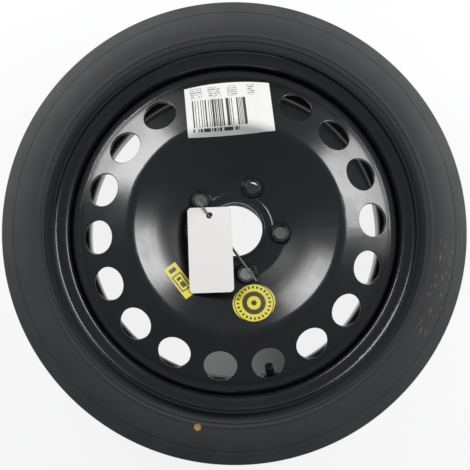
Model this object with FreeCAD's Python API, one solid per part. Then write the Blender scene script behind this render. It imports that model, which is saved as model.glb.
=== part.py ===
import FreeCAD
import Part
import math
import os

# Temporary spare wheel: a narrow tyre on a pressed steel wheel, lying on its inboard side.
# All sizes are in millimetres. The origin is the centre of the bolt circle on the hub face.
# The wheel's axis is Z, and +Z points outboard.

# Tyre
TYRE_DIAMETER = 567.0
SIDEWALL_BULGE = 7.7
TREAD_INSET = 4.8
CROWN_DROP = 1.8
TREAD_THICKNESS = 11.5
SIDEWALL_THICKNESS = 8.5
BEAD_WIDTH = 13.5
BEAD_HEIGHT = 8.0
TOE_RADIUS = 1.5
FLANGE_WRAP = 40.0
SHOULDER_DROP = 7.5
SHOULDER_STEP = 3.5
TREAD_EDGE_RADIUS = 2.5
GROOVE_SPACING = 24.0
GROOVE_WIDTH = 7.0
GROOVE_DEPTH = 5.5
BEAD_CLEARANCE = 0.1

# Rim
SEAT_DIAMETER = 405.6
RIM_WIDTH = 101.6
RIM_SHEET = 2.3
FLANGE_HEIGHT = 17.3
FLANGE_LIP = 10.5
FLANGE_RADIUS = 8.0
HEEL_RADIUS = 5.0
SEAT_WIDTH = 20.0
SEAT_TAPER = 5.0
SEAT_END_RADIUS = 6.0
WELL_DEPTH = 22.6
WELL_WIDTH = 30.0
WELL_RADIUS = 8.0

# Wheel disc
DISC_SHEET = 3.0
WHEEL_OFFSET = 41.0
BORE_DIAMETER = 65.1
COLLAR_HEIGHT = 10.0
COLLAR_BEND = 4.2
HUB_RING_RADIUS = 44.0
HUB_RING_STEP = 1.2
HUB_RING_RAMP = 2.5
HUB_RING_BEND = 1.0
PAD_RADIUS = 61.0
PAD_BEND = 7.0
BOWL_SAG = 3.2
BOWL_BEND = 150.0
CREST_HEIGHT = 40.0
CREST_BEND = 12.0
SLOPE_WIDTH = 63.0
FOOT_INSET = 10.75
FOOT_HEIGHT = 3.6
FOOT_BEND = 9.0
SHOULDER_HEIGHT = 2.5
SHOULDER_BEND = 6.0
SKIRT_LENGTH = 8.0
DISC_FIT = 0.1

# Wheel bolt seats, coned for the bolt heads
BOLT_COUNT = 5
BOLT_CIRCLE = 110.0
BOLT_HOLE = 14.5
BOLT_FIRST_ANGLE = -4.0
SEAT_CONE_ANGLE = 60.0
SEAT_STRAIGHT = 2.2
BOSS_HEIGHT = 4.0
BOSS_TOP_DIAMETER = 23.0
BOSS_FOOT_DIAMETER = 29.0

# Vent holes, punched square to the falling side of the disc
VENT_COUNT = 18
VENT_DIAMETER = 40.0
VENT_INSET = 23.6
VENT_FIRST_ANGLE = 3.7
VENT_EDGE_RADIUS = 0.9

# Snap-in valve, along its own axis from the visible face of the rim
VALVE_ANGLE = 283.7
VALVE_HOLE = 11.5
VALVE_FIT = 0.1
VALVE_BULGE_DIAMETER = 15.2
VALVE_BULGE_LENGTH = 3.0
VALVE_NECK_DIAMETER = 10.4
VALVE_BODY_LENGTH = 17.4
VALVE_FLANGE_DIAMETER = 17.5
VALVE_FLANGE_LENGTH = 3.5
VALVE_ROUNDING = 1.0
VALVE_SHOULDER_ROUNDING = 2.0
VALVE_FOOT_DIAMETER = 13.0
VALVE_FOOT_LENGTH = 9.5
STEM_DIAMETER = 7.7
STEM_ROOT_DIAMETER = 6.6
STEM_TIP = 31.5
STEM_TIP_CHAMFER = 0.5
STEM_FOOT_COVER = 3.0
AIR_BORE = 3.8
CORE_BORE = 4.7
CORE_BORE_DEPTH = 19.0
BOND_GAP = 0.05
RUNNING_FIT = 0.05

# Valve core
CORE_TOP_INSET = 1.0
CORE_SCREW_LENGTH = 5.0
CORE_HEAD_LENGTH = 1.5
CORE_HEAD_DIAMETER = 3.2
CORE_BARREL_LENGTH = 12.7
CORE_BARREL_DIAMETER = 3.5
CORE_BARREL_BORE = 2.3
CORE_BARREL_LIP = 0.8
CORE_BARREL_LIP_BORE = 1.6
GASKET_DROP = 5.0
GASKET_LENGTH = 3.0
PIN_DIAMETER = 1.2
PIN_INSET = 0.5
PIN_COLLAR_DIAMETER = 2.1
PIN_COLLAR_LENGTH = 0.8
PIN_COLLAR_DROP = 2.2
PIN_FOOT_DIAMETER = 2.9
PIN_FOOT_LENGTH = 0.7
CORE_SEAL_LENGTH = 1.8
SPRING_WIRE = 0.22
SPRING_DIAMETER = 1.76
SPRING_TURNS = 7

# Valve cap
CAP_DIAMETER = 10.0
CAP_LENGTH = 12.5
CAP_TOP = 1.0
CAP_SEAL_THICKNESS = 1.4
CAP_SEAL_DIAMETER = 7.4
CAP_EDGE = 0.8
CAP_FLUTES = 14
CAP_FLUTE_DIAMETER = 1.4
CAP_FLUTE_STOP = 2.0

# Label and stickers on the painted face, and the card tag over the hub
GLUE_GAP = 0.05
PAPER = 0.25
LABEL_WIDTH = 104.0
LABEL_DEPTH = 69.0
LABEL_BOW = 4.0
LABEL_OUTSET = 19.5
LABEL_ANGLE = 93.2
LABEL_TURN = 5.0
ROUND_STICKER_DIAMETER = 51.0
ROUND_STICKER_GAP = 0.1
ROUND_STICKER_ANGLE = 283.8
SMALL_STICKER_WIDTH = 17.0
SMALL_STICKER_LENGTH = 44.0
SMALL_STICKER_INSET = 2.5
SMALL_STICKER_ANGLE = 223.6
SMALL_STICKER_TURN = 38.0
TAG_WIDTH = 53.0
TAG_LENGTH = 104.0
TAG_CARD = 0.5
TAG_CORNER = 5.0
TAG_HOLE = 8.0
TAG_HOLE_INSET = 10.0
TAG_X = -30.0
TAG_Y = -25.5
TAG_TURN = 2.0
TAG_REST_GAP = 0.3
TAG_LEAN_GAP = 0.6

# Worked out from the driving sizes
ORIGIN = FreeCAD.Vector(0, 0, 0)
AXIS = FreeCAD.Vector(0, 0, 1)
MID_Z = -WHEEL_OFFSET
RIM_HALF = RIM_WIDTH / 2
SEAT_R = SEAT_DIAMETER / 2
FLANGE_R = SEAT_R + FLANGE_HEIGHT
TAPER = math.tan(math.radians(SEAT_TAPER))
SEAT_END_R = SEAT_R - SEAT_WIDTH * TAPER
WELL_R = SEAT_R - WELL_DEPTH
BORE_R = BORE_DIAMETER / 2
TYRE_R = TYRE_DIAMETER / 2
REACH = TYRE_DIAMETER
SAME_PLACE = 1e-6
EDGE_MATCH = 0.1


def point(radius, height):
    return FreeCAD.Vector(radius, 0, height)


def rounded_edges(points, radii, closed):
    """Lines and arcs along a path whose corners are rounded by the given radii."""
    count = len(points)
    starts = []
    ends = []
    arcs = []
    for i in range(count):
        here = points[i]
        free_end = not closed and i in (0, count - 1)
        if free_end or radii[i] <= 0:
            starts.append(here)
            ends.append(here)
            arcs.append(None)
            continue
        back = (points[i - 1] - here).normalize()
        ahead = (points[(i + 1) % count] - here).normalize()
        half_angle = back.getAngle(ahead) / 2
        reach = radii[i] / math.tan(half_angle)
        inward = (back + ahead).normalize()
        middle = here + inward * (radii[i] / math.sin(half_angle) - radii[i])
        starts.append(here + back * reach)
        ends.append(here + ahead * reach)
        arcs.append(middle)
    edges = []
    for i in range(count):
        if arcs[i] is not None:
            edges.append(Part.Arc(starts[i], arcs[i], ends[i]).toShape())
        last = i == count - 1
        if last and not closed:
            continue
        following = starts[(i + 1) % count]
        if (following - ends[i]).Length > SAME_PLACE:
            edges.append(Part.LineSegment(ends[i], following).toShape())
    return edges


def rounded_face(corners):
    """Face inside a closed outline of (radius, height, rounding) corners."""
    points = [point(c[0], c[1]) for c in corners]
    radii = [c[2] for c in corners]
    return Part.Face(Part.Wire(rounded_edges(points, radii, True)))


def left_normal(start, end):
    along = (end - start).normalize()
    return FreeCAD.Vector(-along.z, 0, along.x)


def offset_path(path, distance):
    """Path moved sideways to its left, with the bend radii that keep the sheet even."""
    points = [point(c[0], c[1]) for c in path]
    last = len(points) - 1
    moved = []
    radii = []
    for i in range(last + 1):
        before = left_normal(points[max(i - 1, 0)], points[max(i, 1)])
        after = left_normal(points[min(i, last - 1)], points[min(i + 1, last)])
        mitre = (before + after).normalize()
        moved.append(points[i] + mitre * (distance / mitre.dot(before)))
        turns_left = before.x * after.z - before.z * after.x > 0
        change = -distance if turns_left else distance
        radii.append(path[i][2] + change if path[i][2] > 0 else 0)
    return moved, radii


def strip_face(path, near, far):
    """Section of a bent sheet that lies between two offsets of one path."""
    near_points, near_radii = offset_path(path, near)
    far_points, far_radii = offset_path(path, far)
    near_edges = rounded_edges(near_points, near_radii, False)
    far_edges = rounded_edges(far_points, far_radii, False)
    first_end = Part.LineSegment(near_points[0], far_points[0]).toShape()
    last_end = Part.LineSegment(near_points[-1], far_points[-1]).toShape()
    edges = near_edges + [last_end] + far_edges + [first_end]
    return Part.Face(Part.Wire(Part.__sortEdges__(edges)))


def turned(face):
    return face.revolve(ORIGIN, AXIS, 360)


def around(shape, angle):
    copy = shape.copy()
    copy.rotate(ORIGIN, AXIS, angle)
    return copy


def seat_inside(height):
    """Radius of the disc's skirt where it sits inside the outboard bead seat."""
    from_flange = RIM_HALF - (height - MID_Z)
    sheet = RIM_SHEET / math.cos(math.radians(SEAT_TAPER))
    return SEAT_R - from_flange * TAPER - sheet - DISC_FIT


SKIRT_R = seat_inside(SHOULDER_HEIGHT)
FOOT_R = SKIRT_R - FOOT_INSET
CREST_R = FOOT_R - SLOPE_WIDTH
VENT_CIRCLE_R = FOOT_R - VENT_INSET
BOWL_MID_R = (PAD_RADIUS + CREST_R) / 2
BOWL_MID_HEIGHT = (DISC_SHEET + CREST_HEIGHT) / 2 - BOWL_SAG


def rim_path():
    """Tyre side of the rim, from the inboard lip to the outboard lip."""
    half = [
        (FLANGE_R, RIM_HALF + FLANGE_LIP, 0),
        (FLANGE_R, RIM_HALF, FLANGE_RADIUS),
        (SEAT_R, RIM_HALF, HEEL_RADIUS),
        (SEAT_END_R, RIM_HALF - SEAT_WIDTH, SEAT_END_RADIUS),
        (WELL_R, WELL_WIDTH / 2, WELL_RADIUS),
    ]
    inboard = [(r, MID_Z - s, bend) for r, s, bend in half]
    outboard = [(r, MID_Z + s, bend) for r, s, bend in reversed(half)]
    return inboard + outboard


def disc_path():
    """Painted outboard face of the disc, from the hub collar to the welded skirt."""
    collar_r = BORE_R + DISC_SHEET
    ring_z = DISC_SHEET + HUB_RING_STEP
    skirt_end = SHOULDER_HEIGHT - SKIRT_LENGTH
    return [
        (collar_r, COLLAR_HEIGHT, 0),
        (collar_r, ring_z, COLLAR_BEND - DISC_SHEET),
        (HUB_RING_RADIUS, ring_z, DISC_SHEET + HUB_RING_BEND),
        (HUB_RING_RADIUS + HUB_RING_RAMP, DISC_SHEET, HUB_RING_BEND),
        (PAD_RADIUS, DISC_SHEET, PAD_BEND),
        (BOWL_MID_R, BOWL_MID_HEIGHT, BOWL_BEND),
        (CREST_R, CREST_HEIGHT, CREST_BEND),
        (FOOT_R, FOOT_HEIGHT, FOOT_BEND),
        (SKIRT_R, SHOULDER_HEIGHT, SHOULDER_BEND),
        (seat_inside(skirt_end), skirt_end, 0),
    ]


def face_height(radius):
    """Height of the painted face at a radius on the bowl."""
    path = disc_path()
    for low, high in zip(path, path[1:]):
        if low[0] <= radius <= high[0] and high[0] > low[0]:
            share = (radius - low[0]) / (high[0] - low[0])
            return low[1] + share * (high[1] - low[1])
    return CREST_HEIGHT


def bead_edges(side):
    """Bead of one side, from the flange bend round the heel and toe to the inside wall."""
    seat_gap = BEAD_CLEARANCE / math.cos(math.radians(SEAT_TAPER))
    heel_s = RIM_HALF - BEAD_CLEARANCE
    heel_r = SEAT_R + seat_gap - BEAD_CLEARANCE * TAPER
    toe_s = heel_s - BEAD_WIDTH
    toe_r = heel_r - BEAD_WIDTH * TAPER
    bend = point(FLANGE_R - FLANGE_RADIUS, MID_Z + side * (RIM_HALF + FLANGE_RADIUS))
    reach = FLANGE_RADIUS + BEAD_CLEARANCE

    def on_bend(angle):
        turn = math.radians(angle)
        return bend + point(reach * math.sin(turn), -side * reach * math.cos(turn))

    points = [
        on_bend(0),
        point(heel_r, MID_Z + side * heel_s),
        point(toe_r, MID_Z + side * toe_s),
        point(SEAT_R + BEAD_HEIGHT, MID_Z + side * toe_s),
    ]
    wrap = Part.Arc(on_bend(FLANGE_WRAP), on_bend(FLANGE_WRAP / 2), on_bend(0)).toShape()
    radii = [0, HEEL_RADIUS + BEAD_CLEARANCE, TOE_RADIUS, 0]
    return on_bend(FLANGE_WRAP), points[-1], [wrap] + rounded_edges(points, radii, False)


def make_tyre():
    section_half = RIM_HALF + SIDEWALL_BULGE
    tread_half = RIM_HALF - TREAD_INSET
    edge_r = TYRE_R - CROWN_DROP
    inner_r = TYRE_R - TREAD_THICKNESS

    def crown(s):
        return TYRE_R - CROWN_DROP * (s / tread_half) ** 2

    edges = []
    liner_ends = []
    for side in (1, -1):
        outside, inside, bead = bead_edges(side)
        shoulder = point(edge_r - SHOULDER_DROP, MID_Z + side * (tread_half + SHOULDER_STEP))
        widest = point((outside.x + shoulder.x) / 2, MID_Z + side * section_half)
        liner_end = point(inner_r - CROWN_DROP, MID_Z + side * (tread_half - SIDEWALL_THICKNESS))
        liner_mid = point((inside.x + liner_end.x) / 2, widest.z - side * SIDEWALL_THICKNESS)
        edges += bead
        edges.append(Part.Arc(outside, widest, shoulder).toShape())
        edges.append(Part.Arc(inside, liner_mid, liner_end).toShape())
        liner_ends.append(liner_end)
    edges.append(Part.Arc(liner_ends[0], point(inner_r, MID_Z), liner_ends[1]).toShape())
    tread = [(edge_r - SHOULDER_DROP, tread_half + SHOULDER_STEP, 0), (edge_r, tread_half, TREAD_EDGE_RADIUS)]
    for centre in (GROOVE_SPACING, 0, -GROOVE_SPACING):
        for s, drop in ((0.5, 0), (0.5, 1), (-0.5, 1), (-0.5, 0)):
            place = centre + s * GROOVE_WIDTH
            tread.append((crown(place) - drop * GROOVE_DEPTH, place, 0))
    tread += [(r, -s, rounding) for r, s, rounding in reversed(tread[:2])]
    points = [point(r, MID_Z + s) for r, s, _ in tread]
    edges += rounded_edges(points, [c[2] for c in tread], False)
    return turned(Part.Face(Part.Wire(Part.__sortEdges__(edges))))


def valve_place():
    """Placement that puts a shape made along Z on the rim's outboard well side."""
    low = point(WELL_R, MID_Z + WELL_WIDTH / 2)
    high = point(SEAT_END_R, MID_Z + RIM_HALF - SEAT_WIDTH)
    normal = left_normal(low, high)
    foot = (low + high) * 0.5 + normal * RIM_SHEET
    turn = FreeCAD.Rotation(AXIS, VALVE_ANGLE)
    lean = FreeCAD.Rotation(AXIS, normal)
    return FreeCAD.Placement(turn.multVec(foot), turn.multiply(lean))


def on_valve(shape):
    shape.Placement = valve_place()
    return shape


def spun(corners):
    """Turned piece of the valve, from (radius, length, rounding) corners along its axis."""
    return on_valve(turned(rounded_face(corners)))


def make_rim():
    rim = turned(strip_face(rim_path(), 0, RIM_SHEET))
    hole_depth = FLANGE_HEIGHT
    hole = Part.makeCylinder(VALVE_HOLE / 2, 2 * hole_depth, FreeCAD.Vector(0, 0, -hole_depth))
    return rim.cut(on_valve(hole))


def vent_axis():
    """Centre of a vent hole on the painted face and the normal of the disc there."""
    crest = point(CREST_R, CREST_HEIGHT)
    foot = point(FOOT_R, FOOT_HEIGHT)
    share = (VENT_CIRCLE_R - CREST_R) / SLOPE_WIDTH
    return crest + (foot - crest) * share, left_normal(crest, foot)


def is_vent_edge(edge, centre, normal):
    """True for an edge of the vent hole at angle 0 that lies on the painted face."""
    if edge.Length < VENT_DIAMETER:
        return False
    middle = edge.valueAt((edge.FirstParameter + edge.LastParameter) / 2) - centre
    depth = middle.dot(normal)
    flat = middle - normal * depth
    return abs(flat.Length - VENT_DIAMETER / 2) < EDGE_MATCH and depth > -DISC_SHEET / 2


def vent_cutter(centre, normal):
    """Punch for one vent hole, square to the slope."""
    depth = 4 * DISC_SHEET
    return Part.makeCylinder(VENT_DIAMETER / 2, 2 * depth, centre - normal * depth, normal)


def bolt_cutter():
    half_angle = math.radians(SEAT_CONE_ANGLE / 2)
    hole_r = BOLT_HOLE / 2
    cone_height = COLLAR_HEIGHT
    straight = Part.makeCylinder(hole_r, 2 * SEAT_STRAIGHT, FreeCAD.Vector(0, 0, -SEAT_STRAIGHT))
    top_r = hole_r + cone_height * math.tan(half_angle)
    cone = Part.makeCone(hole_r, top_r, cone_height, FreeCAD.Vector(0, 0, SEAT_STRAIGHT))
    return straight.fuse(cone)


def make_disc():
    disc = turned(strip_face(disc_path(), 0, -DISC_SHEET))
    bosses = []
    holes = []
    boss = Part.makeCone(
        BOSS_FOOT_DIAMETER / 2, BOSS_TOP_DIAMETER / 2, BOSS_HEIGHT + DISC_SHEET / 2,
        FreeCAD.Vector(BOLT_CIRCLE / 2, 0, DISC_SHEET / 2))
    hole = bolt_cutter()
    hole.translate(FreeCAD.Vector(BOLT_CIRCLE / 2, 0, 0))
    for i in range(BOLT_COUNT):
        angle = BOLT_FIRST_ANGLE + i * 360 / BOLT_COUNT
        bosses.append(around(boss, angle))
        holes.append(around(hole, angle))
    disc = disc.fuse(bosses).cut(holes)
    centre, normal = vent_axis()
    punch = vent_cutter(centre, normal)
    vents = []
    for i in range(VENT_COUNT):
        vents.append(around(punch, VENT_FIRST_ANGLE + i * 360 / VENT_COUNT))
    disc = disc.cut(vents).removeSplitter()
    rims = []
    for i in range(VENT_COUNT):
        turn = FreeCAD.Rotation(AXIS, VENT_FIRST_ANGLE + i * 360 / VENT_COUNT)
        place = turn.multVec(centre)
        facing = turn.multVec(normal)
        rims += [e for e in disc.Edges if is_vent_edge(e, place, facing)]
    return disc.makeFillet(VENT_EDGE_RADIUS, rims)


def make_valve_body():
    wall = -RIM_SHEET - VALVE_FIT
    foot = -RIM_SHEET - VALVE_FOOT_LENGTH
    stem_r = STEM_ROOT_DIAMETER / 2 + BOND_GAP
    return spun([
        (AIR_BORE / 2, foot, 0),
        (VALVE_FOOT_DIAMETER / 2, foot, VALVE_ROUNDING),
        (VALVE_FLANGE_DIAMETER / 2, wall - VALVE_FLANGE_LENGTH, VALVE_ROUNDING),
        (VALVE_FLANGE_DIAMETER / 2, wall, VALVE_ROUNDING),
        (VALVE_HOLE / 2 - VALVE_FIT, wall, 0),
        (VALVE_HOLE / 2 - VALVE_FIT, VALVE_FIT, 0),
        (VALVE_BULGE_DIAMETER / 2, VALVE_FIT, VALVE_ROUNDING),
        (VALVE_BULGE_DIAMETER / 2, VALVE_BULGE_LENGTH, VALVE_SHOULDER_ROUNDING),
        (VALVE_NECK_DIAMETER / 2, VALVE_BODY_LENGTH, VALVE_ROUNDING),
        (stem_r, VALVE_BODY_LENGTH, 0),
        (stem_r, foot + STEM_FOOT_COVER - BOND_GAP, 0),
        (AIR_BORE / 2, foot + STEM_FOOT_COVER - BOND_GAP, 0),
    ])


def make_valve_stem():
    foot = -RIM_SHEET - VALVE_FOOT_LENGTH + STEM_FOOT_COVER
    shoulder = VALVE_BODY_LENGTH + BOND_GAP
    core_end = STEM_TIP - CORE_BORE_DEPTH
    seat_end = core_end - (CORE_BORE - AIR_BORE)
    return spun([
        (AIR_BORE / 2, foot, 0),
        (STEM_ROOT_DIAMETER / 2, foot, 0),
        (STEM_ROOT_DIAMETER / 2, shoulder, 0),
        (STEM_DIAMETER / 2, shoulder, 0),
        (STEM_DIAMETER / 2, STEM_TIP - STEM_TIP_CHAMFER, 0),
        (STEM_DIAMETER / 2 - STEM_TIP_CHAMFER, STEM_TIP, 0),
        (CORE_BORE / 2, STEM_TIP, 0),
        (CORE_BORE / 2, core_end, 0),
        (AIR_BORE / 2, seat_end, 0),
    ])


def core_heights():
    """Places of the core's pieces along the valve: screw top, barrel top and barrel end."""
    screw_top = STEM_TIP - CORE_TOP_INSET
    barrel_top = screw_top - CORE_SCREW_LENGTH
    return screw_top, barrel_top, barrel_top - CORE_BARREL_LENGTH


def make_core_screw():
    top, end, _ = core_heights()
    outer = CORE_BORE / 2 - RUNNING_FIT
    inner = PIN_DIAMETER / 2 + RUNNING_FIT
    return spun([
        (inner, end, 0),
        (outer, end, 0),
        (outer, top - CORE_HEAD_LENGTH, 0),
        (CORE_HEAD_DIAMETER / 2, top - CORE_HEAD_LENGTH, 0),
        (CORE_HEAD_DIAMETER / 2, top, 0),
        (inner, top, 0),
    ])


def make_core_barrel():
    _, top, end = core_heights()
    outer = CORE_BARREL_DIAMETER / 2
    return spun([
        (CORE_BARREL_LIP_BORE / 2, end, 0),
        (outer, end, 0),
        (outer, top, 0),
        (CORE_BARREL_BORE / 2, top, 0),
        (CORE_BARREL_BORE / 2, end + CORE_BARREL_LIP, 0),
        (CORE_BARREL_LIP_BORE / 2, end + CORE_BARREL_LIP, 0),
    ])


def make_core_gasket():
    _, barrel_top, _ = core_heights()
    top = barrel_top - GASKET_DROP
    inner = CORE_BARREL_DIAMETER / 2 + BOND_GAP
    outer = CORE_BORE / 2 - BOND_GAP
    return spun([
        (inner, top - GASKET_LENGTH, 0),
        (outer, top - GASKET_LENGTH, 0),
        (outer, top, 0),
        (inner, top, 0),
    ])


def pin_heights():
    """Under side of the pin's collar, and top and foot of its seal, with the valve shut."""
    _, barrel_top, barrel_end = core_heights()
    collar = barrel_top - PIN_COLLAR_DROP - PIN_COLLAR_LENGTH
    seal_top = barrel_end - BOND_GAP
    return collar, seal_top, seal_top - CORE_SEAL_LENGTH


def make_core_pin():
    collar, _, seal_end = pin_heights()
    pin_r = PIN_DIAMETER / 2
    foot_top = seal_end - BOND_GAP
    return spun([
        (0, foot_top - PIN_FOOT_LENGTH, 0),
        (PIN_FOOT_DIAMETER / 2, foot_top - PIN_FOOT_LENGTH, 0),
        (PIN_FOOT_DIAMETER / 2, foot_top, 0),
        (pin_r, foot_top, 0),
        (pin_r, collar, 0),
        (PIN_COLLAR_DIAMETER / 2, collar, 0),
        (PIN_COLLAR_DIAMETER / 2, collar + PIN_COLLAR_LENGTH, 0),
        (pin_r, collar + PIN_COLLAR_LENGTH, 0),
        (pin_r, STEM_TIP - PIN_INSET, 0),
        (0, STEM_TIP - PIN_INSET, 0),
    ])


def make_core_seal():
    _, top, end = pin_heights()
    inner = PIN_DIAMETER / 2 + BOND_GAP
    return spun([
        (inner, end, 0),
        (PIN_FOOT_DIAMETER / 2, end, 0),
        (PIN_FOOT_DIAMETER / 2, top, 0),
        (inner, top, 0),
    ])


def make_core_spring():
    collar, _, _ = pin_heights()
    _, _, barrel_end = core_heights()
    low = barrel_end + CORE_BARREL_LIP + SPRING_WIRE / 2 + BOND_GAP
    high = collar - SPRING_WIRE / 2 - BOND_GAP
    radius = SPRING_DIAMETER / 2
    path = Part.makeHelix((high - low) / SPRING_TURNS, high - low, radius)
    start = FreeCAD.Vector(radius, 0, 0)
    wire = Part.Wire(Part.makeCircle(SPRING_WIRE / 2, start, FreeCAD.Vector(0, 1, 0)))
    coil = Part.Wire(path).makePipeShell([wire], True, True)
    coil.translate(FreeCAD.Vector(0, 0, low))
    place = valve_place()
    coil.Placement = place.multiply(coil.Placement)
    return coil


def make_valve_cap():
    seal_low = STEM_TIP + BOND_GAP
    inside = seal_low + CAP_SEAL_THICKNESS + BOND_GAP
    top = inside + CAP_TOP
    mouth = top - CAP_LENGTH
    outer = CAP_DIAMETER / 2
    bore = STEM_DIAMETER / 2 + RUNNING_FIT
    cap = turned(rounded_face([
        (bore, mouth, 0),
        (outer, mouth, CAP_EDGE / 2),
        (outer, top, CAP_EDGE),
        (0, top, 0),
        (0, inside, 0),
        (bore, inside, 0),
    ]))
    flutes = []
    flute = Part.makeCylinder(
        CAP_FLUTE_DIAMETER / 2, CAP_LENGTH - CAP_FLUTE_STOP,
        FreeCAD.Vector(outer + CAP_FLUTE_DIAMETER / 4, 0, mouth + CAP_FLUTE_STOP))
    for i in range(CAP_FLUTES):
        flutes.append(around(flute, i * 360 / CAP_FLUTES))
    return on_valve(cap.cut(flutes))


def make_cap_seal():
    low = STEM_TIP + BOND_GAP
    return spun([
        (0, low, 0),
        (CAP_SEAL_DIAMETER / 2, low, 0),
        (CAP_SEAL_DIAMETER / 2, low + CAP_SEAL_THICKNESS, 0),
        (0, low + CAP_SEAL_THICKNESS, 0),
    ])


def paper_skin():
    """Thin layer that follows the painted face, from which stickers are cut."""
    return turned(strip_face(disc_path()[3:9], GLUE_GAP, GLUE_GAP + PAPER))


def make_parts_label():
    half_w = LABEL_WIDTH / 2
    half_d = LABEL_DEPTH / 2
    low_left = FreeCAD.Vector(-half_w, -half_d, 0)
    low_right = FreeCAD.Vector(half_w, -half_d, 0)
    high_right = FreeCAD.Vector(half_w, half_d - LABEL_BOW, 0)
    high_left = FreeCAD.Vector(-half_w, half_d - LABEL_BOW, 0)
    top = FreeCAD.Vector(0, half_d, 0)
    outline = Part.Wire([
        Part.LineSegment(low_left, low_right).toShape(),
        Part.LineSegment(low_right, high_right).toShape(),
        Part.Arc(high_right, top, high_left).toShape(),
        Part.LineSegment(high_left, low_left).toShape(),
    ])
    prism = Part.Face(outline).extrude(AXIS * REACH)
    prism.rotate(ORIGIN, AXIS, LABEL_TURN)
    prism.translate(FreeCAD.Rotation(AXIS, LABEL_ANGLE).multVec(point(CREST_R + LABEL_OUTSET, 0)))
    return paper_skin().common(prism)


def make_round_sticker():
    low = point(PAD_RADIUS, DISC_SHEET)
    high = point(BOWL_MID_R, BOWL_MID_HEIGHT)
    normal = left_normal(low, high)
    boss_edge = (BOLT_CIRCLE + BOSS_FOOT_DIAMETER) / 2
    half_run = ROUND_STICKER_DIAMETER / 2 * normal.z
    radius = boss_edge + ROUND_STICKER_GAP + half_run
    centre = point(radius, face_height(radius))
    depth = DISC_SHEET * 2
    punch = Part.makeCylinder(ROUND_STICKER_DIAMETER / 2, 2 * depth, centre - normal * depth, normal)
    return paper_skin().common(around(punch, ROUND_STICKER_ANGLE))


def make_small_sticker():
    corner = FreeCAD.Vector(-SMALL_STICKER_WIDTH / 2, -SMALL_STICKER_LENGTH / 2, 0)
    prism = Part.makeBox(SMALL_STICKER_WIDTH, SMALL_STICKER_LENGTH, CREST_HEIGHT, corner)
    prism.rotate(ORIGIN, AXIS, SMALL_STICKER_TURN)
    place = point(BOWL_MID_R - SMALL_STICKER_INSET, 0)
    prism.translate(FreeCAD.Rotation(AXIS, SMALL_STICKER_ANGLE).multVec(place))
    return paper_skin().common(prism)


def make_card_tag():
    half_w = TAG_WIDTH / 2
    half_l = TAG_LENGTH / 2
    corners = [
        FreeCAD.Vector(-half_w, -half_l, 0),
        FreeCAD.Vector(half_w, -half_l, 0),
        FreeCAD.Vector(half_w, half_l, 0),
        FreeCAD.Vector(-half_w, half_l, 0),
    ]
    outline = Part.Wire(rounded_edges(corners, [TAG_CORNER] * 4, True))
    card = Part.Face(outline).extrude(AXIS * TAG_CARD)
    hole_y = half_l - TAG_HOLE_INSET
    hole = Part.makeCylinder(TAG_HOLE / 2, TAG_CARD, FreeCAD.Vector(0, hole_y, 0))
    card = card.cut(hole)
    far_corner = math.hypot(TAG_X - half_w, TAG_Y - half_l)
    lean_z = face_height(far_corner) + TAG_LEAN_GAP
    rest_z = COLLAR_HEIGHT + TAG_REST_GAP
    tilt = math.degrees(math.asin((lean_z - rest_z) / TAG_LENGTH))
    card.rotate(ORIGIN, FreeCAD.Vector(1, 0, 0), -tilt)
    card.rotate(ORIGIN, AXIS, TAG_TURN)
    card.translate(FreeCAD.Vector(TAG_X, TAG_Y, (lean_z + rest_z) / 2))
    return card


MAKERS = {
    "tyre": make_tyre,
    "rim": make_rim,
    "wheel_disc": make_disc,
    "valve_body": make_valve_body,
    "valve_stem": make_valve_stem,
    "core_screw": make_core_screw,
    "core_barrel": make_core_barrel,
    "core_gasket": make_core_gasket,
    "core_pin": make_core_pin,
    "core_seal": make_core_seal,
    "core_spring": make_core_spring,
    "valve_cap": make_valve_cap,
    "cap_seal": make_cap_seal,
    "parts_label": make_parts_label,
    "round_sticker": make_round_sticker,
    "small_sticker": make_small_sticker,
    "card_tag": make_card_tag,
}

os.makedirs("parts", exist_ok=True)
for name, maker in MAKERS.items():
    shape = maker()
    shape.exportStep(os.path.join("parts", name + ".step"))
    print(name, shape.isValid(), len(shape.Solids), round(shape.Volume, 2))
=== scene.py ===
# %% [markdown]
# # A temporary spare wheel, dressed for the camera
# The wheel's solids come from the imported model, in metres, with the hub face at z = 0 and the wheel
# lying on its inboard side. This lesson gives every surface its finish, models the moulded tyre and
# the cable tie, and sets up a plain studio. The box of the loaded solids is kept.
# Sizes in the cells below are in millimetres, and MM turns them into metres.

# %% Load the frame
import math

import bpy
from mathutils import Matrix, Vector


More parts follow.
